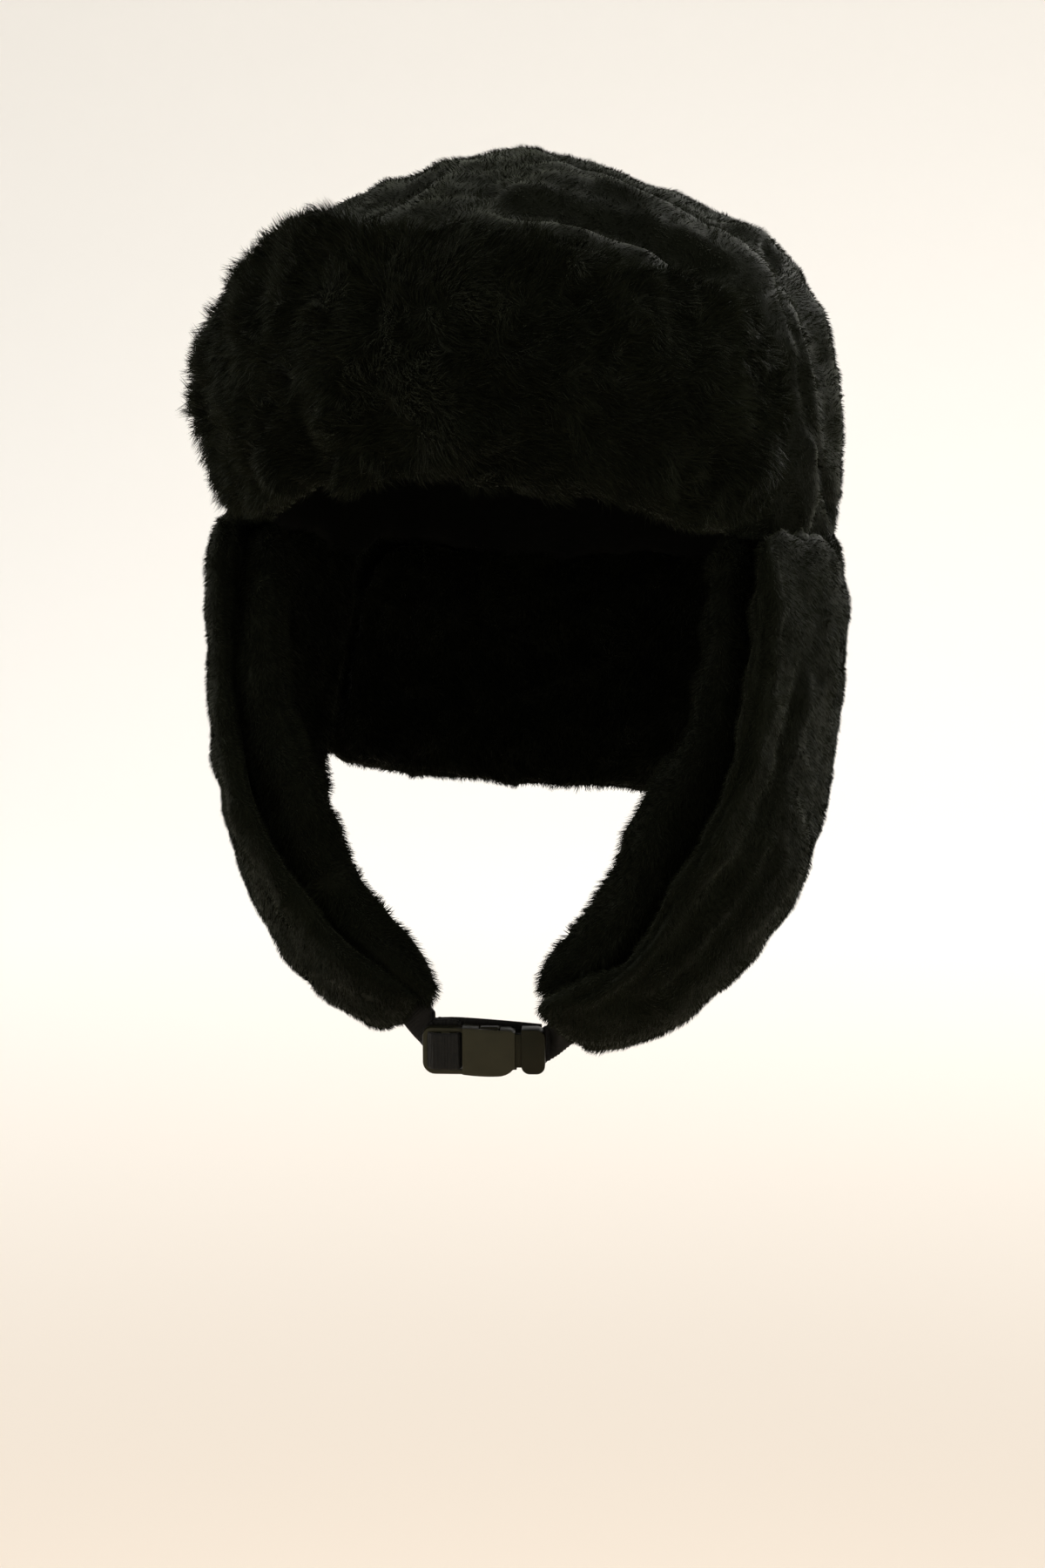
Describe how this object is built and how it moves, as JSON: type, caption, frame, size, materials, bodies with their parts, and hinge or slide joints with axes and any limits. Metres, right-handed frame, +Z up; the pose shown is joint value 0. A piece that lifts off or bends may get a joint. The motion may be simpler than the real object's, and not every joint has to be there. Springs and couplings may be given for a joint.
{
  "type": "ushanka, a padded fur hat with ear flaps, worn with its flaps down and its chin strap fastened",
  "caption": "Black plush ushanka with its front flap turned up, its ear flaps down and a buckled webbing chin strap.",
  "frame": {"origin": "middle of the head opening, at the height of the crown's rim above the ears", "axes": "+Z up through the crown, -Y the way the face looks, +X to the wearer's left"},
  "size_m": [0.2148, 0.2502, 0.2992],
  "materials": {
    "plush_fur": "deep matte pile",
    "lining_fur": "deep matte pile",
    "webbing": "woven",
    "buckle_plastic": "satin"
  },
  "bodies": {
    "root": {"crown": "plush_fur", "front_flap": "plush_fur", "ear_flap_left": "plush_fur", "ear_flap_right": "plush_fur", "ear_lining_left": "lining_fur", "ear_lining_right": "lining_fur", "neck_flap": "plush_fur", "neck_lining": "lining_fur", "strap_adjustable": "webbing", "strap_fixed": "webbing", "buckle_body": "buckle_plastic", "buckle_prongs": "buckle_plastic"}
  },
  "joints": []
}
